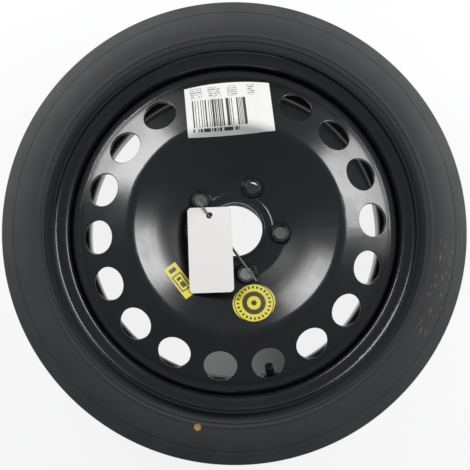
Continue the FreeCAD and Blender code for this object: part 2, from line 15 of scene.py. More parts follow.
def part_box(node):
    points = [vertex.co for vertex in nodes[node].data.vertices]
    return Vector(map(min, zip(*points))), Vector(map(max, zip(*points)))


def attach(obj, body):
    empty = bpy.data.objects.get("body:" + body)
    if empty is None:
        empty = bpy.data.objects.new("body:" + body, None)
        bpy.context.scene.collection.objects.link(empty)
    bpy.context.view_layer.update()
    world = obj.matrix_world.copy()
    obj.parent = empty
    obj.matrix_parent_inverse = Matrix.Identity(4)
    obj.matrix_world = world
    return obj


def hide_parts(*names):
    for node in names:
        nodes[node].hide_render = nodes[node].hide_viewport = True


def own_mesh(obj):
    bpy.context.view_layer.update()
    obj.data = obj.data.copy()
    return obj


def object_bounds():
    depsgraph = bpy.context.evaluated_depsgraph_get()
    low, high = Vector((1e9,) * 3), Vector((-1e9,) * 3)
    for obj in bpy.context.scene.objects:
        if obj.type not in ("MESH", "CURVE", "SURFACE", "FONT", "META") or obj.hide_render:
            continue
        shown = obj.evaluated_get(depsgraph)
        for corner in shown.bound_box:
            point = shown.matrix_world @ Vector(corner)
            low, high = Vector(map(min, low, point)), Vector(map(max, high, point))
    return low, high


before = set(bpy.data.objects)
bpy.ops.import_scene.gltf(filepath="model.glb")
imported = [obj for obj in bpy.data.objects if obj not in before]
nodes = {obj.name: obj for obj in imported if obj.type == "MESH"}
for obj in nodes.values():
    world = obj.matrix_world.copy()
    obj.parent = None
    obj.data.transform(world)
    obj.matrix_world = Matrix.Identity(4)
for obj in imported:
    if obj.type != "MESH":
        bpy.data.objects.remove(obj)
cad_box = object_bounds()
MM = 0.001
print("solids:", len(nodes), "box:", [tuple(round(c, 4) for c in corner) for corner in cad_box])

# %% [markdown]
# A finish is a small network of nodes. Writing each node out by hand hides the idea behind it, so a few
# short helpers do the wiring: one feeds a socket with a number or another socket, one does arithmetic,
# and one gives places on the wheel in millimetres, centred and turned where a pattern needs it.
# The places are Object coordinates, so a pattern stays on its piece from every side.

# %% Helpers for finishes
def feed(tree, socket, value):
    if isinstance(value, bpy.types.NodeSocket):
        tree.links.new(value, socket)
    else:
        socket.default_value = value


def calc(tree, operation, *values):
    made = tree.nodes.new("ShaderNodeMath")
    made.operation = operation
    for socket, value in zip(made.inputs, values):
        feed(tree, socket, value)
    return made.outputs[0]


def place(tree, centre=(0, 0, 0), turn=0.0):
    """Millimetre coordinates about a point on the wheel: the vector, then x, y and z."""
    where = tree.nodes.new("ShaderNodeTexCoord")
    mapping = tree.nodes.new("ShaderNodeMapping")
    mapping.vector_type = "TEXTURE"
    mapping.inputs["Location"].default_value = [c * MM for c in centre]
    mapping.inputs["Rotation"].default_value = (0, 0, math.radians(turn))
    mapping.inputs["Scale"].default_value = (MM, MM, MM)
    tree.links.new(where.outputs["Object"], mapping.inputs["Vector"])
    split = tree.nodes.new("ShaderNodeSeparateXYZ")
    tree.links.new(mapping.outputs[0], split.inputs[0])
    return mapping.outputs[0], *split.outputs


def grain(tree, vector, size, detail=2.0):
    """Cloudy noise from 0 to 1 whose lumps are about size millimetres across."""
    noise = tree.nodes.new("ShaderNodeTexNoise")
    feed(tree, noise.inputs["Vector"], vector)
    noise.inputs["Scale"].default_value = 1 / size
    noise.inputs["Detail"].default_value = detail
    return noise.outputs["Fac"]


def step(tree, value, low, high):
    """0 below low, 1 above high, and a smooth rise between."""
    made = tree.nodes.new("ShaderNodeMapRange")
    made.interpolation_type = "SMOOTHSTEP"
    feed(tree, made.inputs["Value"], value)
    made.inputs["From Min"].default_value = low
    made.inputs["From Max"].default_value = high
    return made.outputs["Result"]


def between(tree, value, low, high):
    """1 where the value lies between low and high, and 0 elsewhere."""
    return calc(tree, "COMPARE", value, (low + high) / 2, (high - low) / 2)


def any_of(tree, masks):
    """1 where at least one of the masks is 1."""
    total = masks[0]
    for mask in masks[1:]:
        total = calc(tree, "MAXIMUM", total, mask)
    return total


def blend(tree, share, under, over):
    """Colour that goes from under to over as share goes from 0 to 1."""
    made = tree.nodes.new("ShaderNodeMix")
    made.data_type = "RGBA"
    colours = [s for s in made.inputs if s.type == "RGBA"]
    feed(tree, made.inputs[0], share)
    for socket, colour in zip(colours, (under, over)):
        feed(tree, socket, colour if isinstance(colour, bpy.types.NodeSocket) else (*colour, 1))
    return next(s for s in made.outputs if s.type == "RGBA")


def spread(tree, value, low, high):
    """Number that goes from low to high as value goes from 0 to 1."""
    return calc(tree, "MULTIPLY_ADD", value, high - low, low)


def polar(tree, x, y):
    """Radius in millimetres and angle in degrees from 0 to 360."""
    squares = calc(tree, "ADD", calc(tree, "MULTIPLY", x, x), calc(tree, "MULTIPLY", y, y))
    angle = calc(tree, "DEGREES", calc(tree, "ARCTAN2", y, x))
    return calc(tree, "SQRT", squares), calc(tree, "MODULO", calc(tree, "ADD", angle, 360.0), 360.0)


def relief(tree, shader, height, depth):
    """Fine relief: a height of 1 stands depth millimetres proud."""
    bump = tree.nodes.new("ShaderNodeBump")
    bump.inputs["Strength"].default_value = 1.0
    bump.inputs["Distance"].default_value = depth * MM
    feed(tree, bump.inputs["Height"], height)
    tree.links.new(bump.outputs[0], shader.inputs["Normal"])


def new_finish(name):
    material = bpy.data.materials.new(name)
    material.use_nodes = True
    tree = material.node_tree
    return material, tree, tree.nodes["Principled BSDF"]


def wear(piece, material):
    piece.data.materials.clear()
    piece.data.materials.append(material)


print("helpers ready")

# %% [markdown]
# ## Black paint on pressed steel
# Rim and disc are dipped in black paint: nearly no colour of their own, and a soft gloss that shows the
# lamps as broad smears. Three things keep it from looking like plastic: a faint orange-peel relief,
# patches where handling dulled the gloss, and a little grey dust. All three are noise at different sizes.

# %% Paint for the rim and the disc
PAINT_BLACK, PAINT_DUST = (0.0075, 0.0075, 0.0085), (0.045, 0.043, 0.04)
PAINT_ROUGHNESS = (0.24, 0.32)
PAINT_SPECULAR = 0.65
DULL_SIZE, DULL_RANGE = 55, (0.40, 0.72)
DUST_SIZE, DUST_RANGE, DUST_SHARE = 2.2, (0.60, 0.78), 0.5
PEEL_SIZE, PEEL_DEPTH = 1.6, 0.012


def make_paint():
    material, tree, shader = new_finish("black_dip_paint")
    vector = place(tree)[0]
    dull = step(tree, grain(tree, vector, DULL_SIZE, 4), *DULL_RANGE)
    dust = step(tree, grain(tree, vector, DUST_SIZE, 5), *DUST_RANGE)
    share = calc(tree, "MULTIPLY", calc(tree, "MULTIPLY", dust, dull), DUST_SHARE)
    feed(tree, shader.inputs["Base Color"], blend(tree, share, PAINT_BLACK, PAINT_DUST))
    feed(tree, shader.inputs["Roughness"], spread(tree, dull, *PAINT_ROUGHNESS))
    shader.inputs["Specular IOR Level"].default_value = PAINT_SPECULAR
    relief(tree, shader, grain(tree, vector, PEEL_SIZE, 2), PEEL_DEPTH)
    return material


paint = make_paint()
for name in ("rim", "wheel_disc"):
    wear(nodes[name], paint)
print("painted: rim, wheel_disc")

# %% [markdown]
# ## The tyre
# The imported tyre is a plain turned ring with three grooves. A moulded tyre shows more: a rim line above
# the bead, a fine step at the shoulder, and tread blocks cut by cross slots. It is a turned shape, so its
# half section is drawn with extruded vertices and spun round the axle. The sizes that the frame already
# knows, its radius and its width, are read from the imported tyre's box.

# %% Sizes of the tyre
tyre_low, tyre_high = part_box("tyre")
TYRE_R = tyre_high.x / MM
TYRE_MID = (tyre_low.z + tyre_high.z) / 2 / MM
TYRE_HALF = (tyre_high.z - tyre_low.z) / 2 / MM
TREAD_HALF = 46.0
TREAD_EDGE_ROUNDING = 2.2
CROWN_DROP = 1.8
GROOVE_SPACING = 24.0
GROOVE_HALF = 3.5
GROOVE_FLOOR_SHARE = 0.86
GROOVE_DEPTH = 5.5
SLOT_OUTER_SIDE = 39.0
# Corners of the half section: distance in from the tread, distance in from the widest side, rounding
BEAD = ((81.6, 20.6, 0), (80.6, 7.9, 4.5), (71.0, 7.9, 6))
LEAVES_RIM = (66.2, 5.9, 1)
SHOULDER = (9.3, 9.0, 1)
LINER = ((72.7, 18.3, 3), (56.0, 6.5, 12), (30.0, 6.5, 12), (13.3, 18.0, 8))
# Rings that stand proud of the side or lie sunk in it: radius, half width and height
SIDE_RINGS = ((TYRE_R - 52.5, 1.1, 0.8), (TYRE_R - 47.0, 0.5, 0.35), (TYRE_R - 17.5, 0.7, -0.6))
RING_FLANK = 0.6
WALL_STEP = 3.0
ARC_TURN = math.radians(12)
print("tyre radius", round(TYRE_R, 1), "mm, half width", round(TYRE_HALF, 1), "mm")

# %% [markdown]
# The section is a list of corners, and each may be rounded. The side is an arc through three places, where
# the tyre leaves the rim, its widest place and the shoulder, and the rings are added to that arc. The
# inboard half mirrors the outboard one.

# %% Section of the tyre
def rounded_path(corners):
    """Points along (radius, side, rounding) corners, with each rounded corner as an arc."""
    places = [Vector((r, s)) for r, s, _ in corners]
    path = []
    for i, (_, _, rounding) in enumerate(corners):
        here = places[i]
        if rounding == 0 or i in (0, len(corners) - 1):
            path.append(here)
            continue
        back = (places[i - 1] - here).normalized()
        ahead = (places[i + 1] - here).normalized()
        half = back.angle(ahead) / 2
        centre = here + (back + ahead).normalized() * (rounding / math.sin(half))
        start = here + back * (rounding / math.tan(half)) - centre
        end = here + ahead * (rounding / math.tan(half)) - centre
        turn = math.atan2(start.cross(end), start.dot(end))
        count = max(2, round(abs(turn) / ARC_TURN))
        for k in range(count + 1):
            path.append(centre + Matrix.Rotation(turn * k / count, 2) @ start)
    return path


def corner_at(from_tread, from_side, rounding):
    return TYRE_R - from_tread, TYRE_HALF - from_side, rounding


def crown(side):
    return TYRE_R - CROWN_DROP * (side / TREAD_HALF) ** 2


def arc_through(first, second, last):
    """Centre and radius of the circle through three places."""
    to_second, to_last = second - first, last - first
    turn = 2 * to_second.cross(to_last)
    offset = Vector((
        to_last.y * to_second.length_squared - to_second.y * to_last.length_squared,
        to_second.x * to_last.length_squared - to_last.x * to_second.length_squared)) / turn
    return first + offset, offset.length


leaves_rim = Vector(corner_at(*LEAVES_RIM)[:2])
shoulder = Vector(corner_at(*SHOULDER)[:2])
widest = Vector(((leaves_rim.x + shoulder.x) / 2, TYRE_HALF))
wall_centre, wall_radius = arc_through(leaves_rim, widest, shoulder)


def wall_side(radius):
    return wall_centre.y + math.sqrt(wall_radius ** 2 - (radius - wall_centre.x) ** 2)


def clear_of_rings(radius):
    return all(abs(radius - ring_r) > WALL_STEP / 2 + half for ring_r, half, _ in SIDE_RINGS)


wall_steps = range(1, int((shoulder.x - leaves_rim.x) / WALL_STEP))
wall_radii = [leaves_rim.x + WALL_STEP * k for k in wall_steps]
sidewall = [(r, wall_side(r), 0) for r in wall_radii if clear_of_rings(r)]
for ring_r, half, height in SIDE_RINGS:
    for offset, share in ((-half - RING_FLANK, 0), (-half, 1), (half, 1), (half + RING_FLANK, 0)):
        sidewall.append((ring_r + offset, wall_side(ring_r + offset) + share * height, 0))
sidewall.sort()
outboard = [
    *(corner_at(*corner) for corner in BEAD),
    corner_at(*LEAVES_RIM),
    *sidewall,
    corner_at(*SHOULDER),
    (crown(TREAD_HALF), TREAD_HALF, TREAD_EDGE_ROUNDING),
    (crown(SLOT_OUTER_SIDE), SLOT_OUTER_SIDE, 0),
]
tread = []
for groove in (GROOVE_SPACING, 0, -GROOVE_SPACING):
    for end, drop in ((1, 0), (GROOVE_FLOOR_SHARE, 1), (-GROOVE_FLOOR_SHARE, 1), (-1, 0)):
        side = groove + end * GROOVE_HALF
        tread.append((crown(side) - drop * GROOVE_DEPTH, side, 0))
inboard = [(r, -s, rounding) for r, s, rounding in reversed(outboard)]
half_liner = [corner_at(*corner) for corner in LINER]
liner = [(r, -s, rounding) for r, s, rounding in half_liner] + half_liner[::-1]
tyre_path = rounded_path(outboard + tread + inboard + liner + outboard[:1])
print("tyre section:", len(tyre_path), "points")

# %% [markdown]
# Spinning turns the drawn line into a skin. The line runs round the outside, then back along the liner to
# its own start, so the skin closes and the tyre is a hollow shell with a real wall. The cross slots are
# made afterwards, as by hand: the faces of one step in four on each shoulder rib are selected by their
# place and sunk inwards.

# %% Spin the tyre and sink its slots
def deselect_all():
    if bpy.context.object and bpy.context.object.mode != "OBJECT":
        bpy.ops.object.mode_set(mode="OBJECT")
    bpy.ops.object.select_all(action="DESELECT")


def draw_line(name, points):
    """Mesh of one line through the points, drawn by extruding its last vertex again and again."""
    deselect_all()
    bpy.ops.mesh.primitive_plane_add(size=MM, location=(0, 0, 0))
    piece = bpy.context.object
    piece.name = name
    bpy.ops.object.mode_set(mode="EDIT")
    bpy.ops.mesh.select_all(action="SELECT")
    bpy.ops.mesh.merge(type="CENTER")
    bpy.ops.transform.translate(value=points[0])
    for start, end in zip(points, points[1:]):
        bpy.ops.mesh.extrude_vertices_move(TRANSFORM_OT_translate={"value": end - start})
    return piece


def select_faces(piece, test):
    """Selects the faces whose centre passes the test, and counts them."""
    bpy.ops.object.mode_set(mode="OBJECT")
    for edge in piece.data.edges:
        edge.select = False
    for vertex in piece.data.vertices:
        vertex.select = False
    chosen = 0
    for face in piece.data.polygons:
        face.select = test(face.center)
        chosen += face.select
    bpy.ops.object.mode_set(mode="EDIT")
    bpy.ops.mesh.select_mode(type="FACE")
    return chosen


SPIN_STEPS = 320
MERGE_WITHIN = 0.02
SLOT_STEPS = 4
SLOT_DEPTH = 4.0
SLOT_INNER_SIDE = GROOVE_SPACING + GROOVE_HALF
SLOT_FLOOR_R = TYRE_R - GROOVE_DEPTH / 2
TYRE_SMOOTH = math.radians(32)


def in_slot(centre):
    side = abs(centre.z / MM - TYRE_MID)
    radius = math.hypot(centre.x, centre.y) / MM
    count = int((math.atan2(centre.y, centre.x) % math.tau) / math.tau * SPIN_STEPS)
    shift = 0 if centre.z / MM > TYRE_MID else SLOT_STEPS // 2
    in_rib = SLOT_INNER_SIDE < side < SLOT_OUTER_SIDE and radius > SLOT_FLOOR_R
    return (count + shift) % SLOT_STEPS == 0 and in_rib


def make_tyre():
    points = [Vector((p.x, 0, TYRE_MID + p.y)) * MM for p in tyre_path]
    piece = draw_line("moulded_tyre", points)
    bpy.ops.mesh.select_all(action="SELECT")
    bpy.ops.mesh.spin(steps=SPIN_STEPS, angle=math.tau, center=(0, 0, 0), axis=(0, 0, 1))
    bpy.ops.mesh.select_all(action="SELECT")
    bpy.ops.mesh.remove_doubles(threshold=MERGE_WITHIN * MM)
    bpy.ops.mesh.normals_make_consistent(inside=False)
    slots = select_faces(piece, in_slot)
    bpy.ops.mesh.extrude_region_shrink_fatten(
        TRANSFORM_OT_shrink_fatten={"value": -SLOT_DEPTH * MM})
    bpy.ops.object.mode_set(mode="OBJECT")
    bpy.ops.object.shade_smooth_by_angle(angle=TYRE_SMOOTH)
    print("tyre faces:", len(piece.data.polygons), "faces sunk in slots:", slots)
    return piece


tyre = make_tyre()
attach(tyre, "wheel")
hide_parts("tyre")

# %% [markdown]
# ## Rubber
# Tyre rubber is a dark neutral grey that scatters light, and it turns paler in cloudy patches that grow
# towards the shoulder. The mould leaves fine rings on the side, a paint dot marks the light spot, and where
# the wheel was stood on the ground there are beige scuffs. Radius and angle come from the x and y of each
# point.

# %% Rubber for the tyre
# Dark rubber, and the paler tone it takes in cloudy patches towards the shoulder
RUBBER_DARK, RUBBER_PALE = (0.024, 0.024, 0.025), (0.062, 0.062, 0.063)
RUBBER_ROUGHNESS = 0.72
RUBBER_GRAIN, RUBBER_RELIEF = 0.9, 0.10
PALE_SIZE, PALE_RADII = 38, (225, 282)
DOT_PLACE = (-45.0, -236.0, 0.0)
DOT_RADIUS, DOT_RAGGED, DOT_GRAIN = 4.2, 1.2, 2.0
DOT_COLOUR = (0.42, 0.27, 0.06)
SCUFF_ANGLES, SCUFF_RADII = (330.0, 357.0), (243.0, 266.0)
SCUFF_SIZE, SCUFF_RANGE, SCUFF_SHARE = 2.6, (0.55, 0.70), 0.35
SCUFF_COLOUR = (0.33, 0.29, 0.23)
MOULD_RADII = (SIDE_RINGS[-1][0] + 2, TYRE_R - 9.5)
MOULD_PITCH, MOULD_SHARE = 1.6, 0.9


def make_rubber():
    material, tree, shader = new_finish("tyre_rubber")
    vector, x, y, z = place(tree)
    radius, angle = polar(tree, x, y)
    front = calc(tree, "GREATER_THAN", z, TYRE_MID)
    # Cloudy patches of paler rubber that grow towards the shoulder
    paler = calc(tree, "MULTIPLY", grain(tree, vector, PALE_SIZE, 5), step(tree, radius, *PALE_RADII))
    colour = blend(tree, paler, RUBBER_DARK, RUBBER_PALE)

    _, dot_x, dot_y, _ = place(tree, DOT_PLACE)
    dot_r, _ = polar(tree, dot_x, dot_y)
    wander = spread(tree, grain(tree, vector, DOT_GRAIN), -DOT_RAGGED, DOT_RAGGED)
    in_dot = calc(tree, "LESS_THAN", calc(tree, "ADD", dot_r, wander), DOT_RADIUS)
    colour = blend(tree, calc(tree, "MULTIPLY", front, in_dot), colour, DOT_COLOUR)

    along = tree.nodes.new("ShaderNodeCombineXYZ")
    feed(tree, along.inputs[0], radius)
    feed(tree, along.inputs[1], angle)
    streak = step(tree, grain(tree, along.outputs[0], SCUFF_SIZE, 4), *SCUFF_RANGE)
    patch = calc(tree, "MULTIPLY", between(tree, angle, *SCUFF_ANGLES), between(tree, radius, *SCUFF_RADII))
    scuff = calc(tree, "MULTIPLY", calc(tree, "MULTIPLY", streak, patch), front)
    colour = blend(tree, calc(tree, "MULTIPLY", scuff, SCUFF_SHARE), colour, SCUFF_COLOUR)
    feed(tree, shader.inputs["Base Color"], colour)
    shader.inputs["Roughness"].default_value = RUBBER_ROUGHNESS

    rings = calc(tree, "SINE", calc(tree, "MULTIPLY", radius, math.tau / MOULD_PITCH))
    band = calc(tree, "MULTIPLY", between(tree, radius, *MOULD_RADII), rings)
    lines = calc(tree, "MULTIPLY", band, MOULD_SHARE)
    relief(tree, shader, calc(tree, "ADD", lines, grain(tree, vector, RUBBER_GRAIN, 3)), RUBBER_RELIEF)
    return material


wear(tyre, make_rubber())
print("tyre wears", tyre.data.materials[0].name)

# %% [markdown]
# ## Printed paper label
# The label is thin paper over the crest. Its print is generic: a bar code and rows of small dashes. Bars
# come from white noise of the rounded-down place, which gives each narrow column its own random shade;
# dashes do the same in two directions. Windows keep each print in its own part of the sheet.

# %% Label with a bar code
LABEL_PLACE = (-8.1, 145.3, 0.0)
LABEL_TURN = 5.0
BAR_WIDTH, BAR_SHARE = 0.85, 0.50
DASH_WIDTH, DASH_SHARE, DASH_HEIGHT = 0.9, 0.6, 0.55
DIGIT_WIDTH, DIGIT_SHARE = DASH_WIDTH * 1.5, 0.62
ROW_PITCH = 2.9
# Windows: left, right, low and high edge, from the label's middle
BAR_BLOCK = (-45.0, 20.5, -23.5, 13.0)
DIGIT_ROW = (-45.0, 10.5, -29.0, -25.0)
TEXT_BLOCKS = ((-46.0, -31.0), (-24.0, -8.0), (0.0, 12.0), (24.0, 33.0))
TEXT_ROWS = (15.5, 30.0)
PAPER_LOW, PAPER_HIGH = (0.74, 0.73, 0.69), (0.82, 0.81, 0.78)
PAPER_SIZE, PAPER_ROUGHNESS = 24, 0.6
RIPPLE_SIZE, RIPPLE_DEPTH = 9, 0.25
BAR_INK, SMALL_INK = (0.045, 0.045, 0.045), (0.06, 0.06, 0.06)
SMALL_INK_SHARE = 0.72


def window(tree, x, y, left, right, low, high):
    return calc(tree, "MULTIPLY", between(tree, x, left, right), between(tree, y, low, high))


def bars(tree, x, width, share):
    """Upright bars of random width: 1 on a bar."""
    noise = tree.nodes.new("ShaderNodeTexWhiteNoise")
    noise.noise_dimensions = "1D"
    feed(tree, noise.inputs["W"], calc(tree, "FLOOR", calc(tree, "DIVIDE", x, width)))
    return calc(tree, "LESS_THAN", noise.outputs["Value"], share)


def dashes(tree, x, y, width, pitch, share):
    """Rows of short dashes in place of small print: 1 on a dash."""
    noise = tree.nodes.new("ShaderNodeTexWhiteNoise")
    noise.noise_dimensions = "2D"
    row = calc(tree, "DIVIDE", y, pitch)
    cell = tree.nodes.new("ShaderNodeCombineXYZ")
    feed(tree, cell.inputs[0], calc(tree, "FLOOR", calc(tree, "DIVIDE", x, width)))
    feed(tree, cell.inputs[1], calc(tree, "FLOOR", row))
    feed(tree, noise.inputs["Vector"], cell.outputs[0])
    lit = calc(tree, "LESS_THAN", noise.outputs["Value"], share)
    return calc(tree, "MULTIPLY", lit, calc(tree, "LESS_THAN", calc(tree, "FRACT", row), DASH_HEIGHT))


def make_label_paper():
    material, tree, shader = new_finish("label_paper")
    vector, x, y, _ = place(tree, LABEL_PLACE, LABEL_TURN)
    code = calc(tree, "MULTIPLY", bars(tree, x, BAR_WIDTH, BAR_SHARE), window(tree, x, y, *BAR_BLOCK))
    marks = bars(tree, x, DIGIT_WIDTH, DIGIT_SHARE)
    digits = calc(tree, "MULTIPLY", marks, window(tree, x, y, *DIGIT_ROW))
    columns = any_of(tree, [window(tree, x, y, *ends, *TEXT_ROWS) for ends in TEXT_BLOCKS])
    small = calc(tree, "MULTIPLY", dashes(tree, x, y, DASH_WIDTH, ROW_PITCH, DASH_SHARE), columns)
    paper = blend(tree, grain(tree, vector, PAPER_SIZE, 4), PAPER_LOW, PAPER_HIGH)
    colour = blend(tree, calc(tree, "MULTIPLY", small, SMALL_INK_SHARE), paper, SMALL_INK)
    colour = blend(tree, calc(tree, "MAXIMUM", code, digits), colour, BAR_INK)
    feed(tree, shader.inputs["Base Color"], colour)
    shader.inputs["Roughness"].default_value = PAPER_ROUGHNESS
    relief(tree, shader, grain(tree, vector, RIPPLE_SIZE, 3), RIPPLE_DEPTH)
    return material


wear(nodes["parts_label"], make_label_paper())
print("label printed")

# %% [markdown]
# ## Yellow stickers
# Both stickers are yellow film. In place of lettering they carry plain shapes: rings and bars in olive
# ink. A ring is a window on the distance from the sticker's middle, and a bar is a window on x and y.

# %% Round and small sticker
def middle(name):
    """Middle of a piece's box in millimetres, seen from above."""
    low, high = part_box(name)
    return ((low.x + high.x) / 2 / MM, (low.y + high.y) / 2 / MM, 0.0)


ROUND_PLACE = middle("round_sticker")
ROUND_TURN = 14.0
SMALL_PLACE = middle("small_sticker")
SMALL_TURN = 38.0
YELLOW_LOW, YELLOW_HIGH = (0.62, 0.53, 0.055), (0.72, 0.64, 0.085)
OLIVE_INK = (0.05, 0.045, 0.012)
FILM_SIZE, FILM_ROUGHNESS = 12, 0.42
FILM_GRAIN, FILM_DEPTH = 4, 0.04
# Print of the round sticker: radii of its rings, and the pitch of its ticks in degrees
EDGE_RING, DIAL_RING, TICK_RING = (22.6, 23.6), (8.2, 14.0), (17.5, 20.5)
HUB_DOT_R = 3.2
TICK_PITCH, TICK_SHARE = 15.0, 0.45
# Print of the small sticker: left, right, low and high edge of each shape
FRAME_OUTER, FRAME_INNER = (-6.4, 6.4, -13, 9), (-5.0, 5.0, -11.6, 7.6)
SMALL_BARS = ((-2.8, 2.8, -9.0, -1.5), (-2.8, 2.8, 1.0, 4.6), (-4.5, 4.5, 13, 18))


def make_yellow_film(name, centre, turn, print_of):
    material, tree, shader = new_finish(name)
    vector, x, y, _ = place(tree, centre, turn)
    film = blend(tree, grain(tree, vector, FILM_SIZE, 3), YELLOW_LOW, YELLOW_HIGH)
    feed(tree, shader.inputs["Base Color"], blend(tree, print_of(tree, x, y), film, OLIVE_INK))
    shader.inputs["Roughness"].default_value = FILM_ROUGHNESS
    relief(tree, shader, grain(tree, vector, FILM_GRAIN, 2), FILM_DEPTH)
    return material


def round_print(tree, x, y):
    radius, angle = polar(tree, x, y)
    edge = between(tree, radius, *EDGE_RING)
    dial = between(tree, radius, *DIAL_RING)
    hub = calc(tree, "LESS_THAN", radius, HUB_DOT_R)
    turns = calc(tree, "FRACT", calc(tree, "DIVIDE", angle, TICK_PITCH))
    ticks = calc(tree, "LESS_THAN", turns, TICK_SHARE)
    marks = calc(tree, "MULTIPLY", ticks, between(tree, radius, *TICK_RING))
    return any_of(tree, [edge, dial, hub, marks])


def small_print(tree, x, y):
    outer = window(tree, x, y, *FRAME_OUTER)
    inner = window(tree, x, y, *FRAME_INNER)
    shapes = [window(tree, x, y, *edges) for edges in SMALL_BARS]
    return any_of(tree, [calc(tree, "SUBTRACT", outer, inner), *shapes])


round_film = make_yellow_film("round_yellow_film", ROUND_PLACE, ROUND_TURN, round_print)
small_film = make_yellow_film("small_yellow_film", SMALL_PLACE, SMALL_TURN, small_print)
wear(nodes["round_sticker"], round_film)
wear(nodes["small_sticker"], small_film)
print("stickers printed at", [round(c, 1) for c in ROUND_PLACE], [round(c, 1) for c in SMALL_PLACE])

# %% [markdown]
# ## Card tag
# The tag is plain white card that hung in a workshop: slightly warm, with faint grey smudges, and a matt
# surface with paper fibre.

# %% Card for the tag
CARD_WHITE, CARD_SMUDGE = (0.85, 0.83, 0.81), (0.79, 0.77, 0.74)
SMUDGE_SIZE, SMUDGE_RANGE = 30, (0.50, 0.85)
CARD_ROUGHNESS = 0.8
FIBRE_SIZE, FIBRE_DEPTH = 0.7, 0.03


def make_card():
    material, tree, shader = new_finish("tag_card")
    vector = place(tree)[0]
    smudge = step(tree, grain(tree, vector, SMUDGE_SIZE, 5), *SMUDGE_RANGE)
    feed(tree, shader.inputs["Base Color"], blend(tree, smudge, CARD_WHITE, CARD_SMUDGE))
    shader.inputs["Roughness"].default_value = CARD_ROUGHNESS
    relief(tree, shader, grain(tree, vector, FIBRE_SIZE, 3), FIBRE_DEPTH)
    return material


wear(nodes["card_tag"], make_card())
print("tag wears card")

# %% [markdown]
# ## Valve
# The snap-in valve is black rubber round a brass stem, with a fluted plastic cap. The core inside is brass
# and steel with rubber seals. These pieces are small, so each finish is a colour with a fine grain and the
# gloss of its stuff: rubber is dull, moulded plastic shines a little, brass and steel mirror.

# %% Finishes of the valve
GLOSS_SWING = 0.06
FINE_SHARE, FINE_DEPTH = 6, 0.01


def make_plain(name, low, high, roughness, metal, grain_size):
    material, tree, shader = new_finish(name)
    vector = place(tree)[0]
    cloud = grain(tree, vector, grain_size, 4)
    feed(tree, shader.inputs["Base Color"], blend(tree, cloud, low, high))
    gloss = spread(tree, cloud, roughness - GLOSS_SWING, roughness + GLOSS_SWING)
    feed(tree, shader.inputs["Roughness"], gloss)
    shader.inputs["Metallic"].default_value = metal
    relief(tree, shader, grain(tree, vector, grain_size / FINE_SHARE, 2), FINE_DEPTH)
    return material


valve_rubber = make_plain("valve_rubber", (0.012, 0.012, 0.012), (0.026, 0.026, 0.026), 0.62, 0.0, 3)
cap_plastic = make_plain("cap_plastic", (0.010, 0.010, 0.011), (0.018, 0.018, 0.019), 0.38, 0.0, 4)
brass = make_plain("valve_brass", (0.62, 0.42, 0.16), (0.74, 0.54, 0.25), 0.30, 1.0, 2)
spring_steel = make_plain("spring_steel", (0.50, 0.50, 0.50), (0.62, 0.61, 0.59), 0.28, 1.0, 1)
gasket_plastic = make_plain("gasket_plastic", (0.46, 0.05, 0.04), (0.58, 0.09, 0.06), 0.5, 0.0, 1)
VALVE_FINISHES = {
    "valve_body": valve_rubber, "core_seal": valve_rubber, "cap_seal": valve_rubber,
    "valve_cap": cap_plastic, "valve_stem": brass, "core_screw": brass, "core_barrel": brass,
    "core_pin": brass, "core_spring": spring_steel, "core_gasket": gasket_plastic,
}
for name, material in VALVE_FINISHES.items():
    wear(nodes[name], material)
print("valve pieces finished:", len(VALVE_FINISHES))

# %% [markdown]
# Inside the stem a spring holds the core's pin shut. When the pin is pressed, the spring gets shorter by the
# pin's travel. Here the spring only gets a mesh of its own; it is not shortened.

# %% Give the spring its own mesh
spring = nodes["core_spring"]
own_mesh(spring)

# %% [markdown]
# ## Cable tie
# A grey cable tie holds the tag: up through one bolt hole, through the tag's hole, across the hub bore
# and down through another bolt hole, with its head and tail beside that one. The strap keeps to one
# upright plane, so its route is a list of places in that plane.

# %% Route of the tie
HOLE_CIRCLE_R = 55.0
UP_ANGLE, UP_SHIFT = math.radians(140.0), Vector((-3.5, -1.0))
DOWN_ANGLE, DOWN_SHIFT = math.radians(284.0), Vector((3.4, 2.6))
BACK_Z = -1.2
FRONT_LIFT = 0.35


def on_hole_circle(angle):
    return Vector((math.cos(angle), math.sin(angle))) * HOLE_CIRCLE_R


up_place = on_hole_circle(UP_ANGLE) + UP_SHIFT
down_place = on_hole_circle(DOWN_ANGLE) + DOWN_SHIFT
run = down_place - up_place
RUN = run.length
FRONT_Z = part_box("card_tag")[0].z / MM + FRONT_LIFT
# Knots of the loop: distance along the run, and height over the hub face
route = [
    (0.0, 1.5), (0.0, 6.0), (1.6, 9.4), (5.0, 11.2), (11.0, 11.9), (17.5, 12.2),
    (21.0, 11.8), (25.0, 10.9), (29.0, FRONT_Z), (50.0, FRONT_Z), (84.0, FRONT_Z),
    (93.0, 9.9), (RUN - 6.0, 9.0), (RUN - 2.0, 8.2), (RUN, 6.0), (RUN, 1.5),
    (RUN - 0.6, -0.4), (RUN - 3.0, BACK_Z), (RUN / 2, BACK_Z), (3.0, BACK_Z), (0.6, -0.4),
]
print("tie runs", round(RUN, 1), "mm between its holes")

# %% [markdown]
# A strap is a flat curve through its knots. Extruding a flat curve gives it the strap's width, and its bevel
# gives the thickness with rounded edges. The head is a small block shaped from a cube, with a mouth sunk in
# its far end. Each piece is drawn lying down and then stood up in the tie's plane.

# %% Strap, head and tail
STRAP_WIDTH, STRAP_THICK = 2.6, 0.9
STRAP_STEPS, STRAP_EDGE_STEPS = 8, 3
HEAD_SIZE = (5.0, 4.4, 4.8)
HEAD_BACK, HEAD_Z = 1.0, 9.4
MOUTH_RIM, MOUTH_DEPTH = 0.9, 0.8
HEAD_ROUNDING, HEAD_EDGE_STEPS = 0.45, 3
TIE_SMOOTH = math.radians(40)
TAIL = 15.0
tail_route = [(RUN + 0.5, HEAD_Z), (RUN + 6, HEAD_Z - 0.2), (RUN + TAIL, HEAD_Z + 1.6)]


